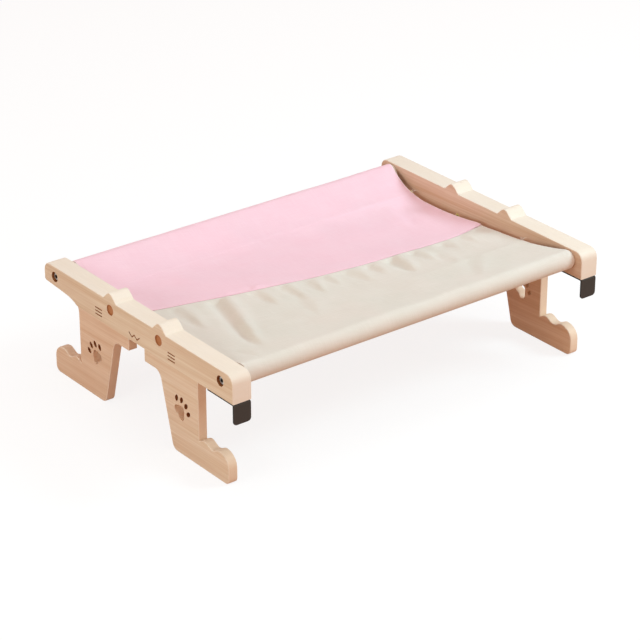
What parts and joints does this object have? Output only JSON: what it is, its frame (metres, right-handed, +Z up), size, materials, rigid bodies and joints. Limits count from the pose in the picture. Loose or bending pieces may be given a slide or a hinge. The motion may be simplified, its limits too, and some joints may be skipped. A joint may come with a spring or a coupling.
{
  "type": "cat window perch",
  "caption": "Low wooden cat perch with hooked feet, cat-eared side rails, a pink and beige canvas sling on dowels and sliding steel edge hooks.",
  "frame": {"origin": "on the floor, midway between the side frames and midway along the rails", "axes": "+X along the dowels to the right, +Y from the hook end to the rear, +Z up"},
  "size_m": [0.57, 0.4, 0.1645],
  "materials": {
    "pine_board": "sanded pale pine, thin matt lacquer",
    "dowel_wood": "plain turned dowel",
    "brass_plated": "plain",
    "zinc_steel": "zinc plated",
    "black_steel": "satin black powder coat",
    "black_foam": "matt soft pad",
    "pink_canvas": "plain-weave cotton canvas",
    "beige_canvas": "plain-weave cotton canvas"
  },
  "bodies": {
    "perch_frame": {"left_rail": "pine_board", "right_rail": "pine_board", "left_front_leg": "pine_board", "left_rear_leg": "pine_board", "right_front_leg": "pine_board", "right_rear_leg": "pine_board", "front_dowel": "dowel_wood", "rear_dowel": "dowel_wood", "left_front_dowel_insert": "brass_plated", "left_rear_dowel_insert": "brass_plated", "right_front_dowel_insert": "brass_plated", "right_rear_dowel_insert": "brass_plated", "left_hook_insert_front": "brass_plated", "left_hook_insert_rear": "brass_plated", "right_hook_insert_front": "brass_plated", "right_hook_insert_rear": "brass_plated", "left_front_leg_screw_outer": "brass_plated", "left_front_leg_screw_inner": "brass_plated", "left_rear_leg_screw_outer": "brass_plated", "left_rear_leg_screw_inner": "brass_plated", "right_front_leg_screw_outer": "brass_plated", "right_front_leg_screw_inner": "brass_plated", "right_rear_leg_screw_outer": "brass_plated", "right_rear_leg_screw_inner": "brass_plated", "left_front_rail_bolt": "zinc_steel", "left_rear_rail_bolt": "zinc_steel", "right_front_rail_bolt": "zinc_steel", "right_rear_rail_bolt": "zinc_steel", "left_front_bolt_washer": "zinc_steel", "left_rear_bolt_washer": "zinc_steel", "right_front_bolt_washer": "zinc_steel", "right_rear_bolt_washer": "zinc_steel", "left_hook_washer_front": "zinc_steel", "left_hook_washer_rear": "zinc_steel", "right_hook_washer_front": "zinc_steel", "right_hook_washer_rear": "zinc_steel", "left_hook_screw_front": "black_steel", "left_hook_screw_rear": "black_steel", "right_hook_screw_front": "black_steel", "right_hook_screw_rear": "black_steel", "pink_panel": "pink_canvas", "beige_panel": "beige_canvas"},
    "left_clamp": {"left_hook": "black_steel", "left_hook_pad": "black_foam"},
    "right_clamp": {"right_hook": "black_steel", "right_hook_pad": "black_foam"}
  },
  "joints": [
    {"name": "left_hook_slide", "type": "slide", "parent": "perch_frame", "child": "left_clamp", "axis": [0, -1, 0], "range_m": [0, 0.024]},
    {"name": "right_hook_slide", "type": "slide", "parent": "perch_frame", "child": "right_clamp", "axis": [0, -1, 0], "range_m": [0, 0.024]}
  ]
}
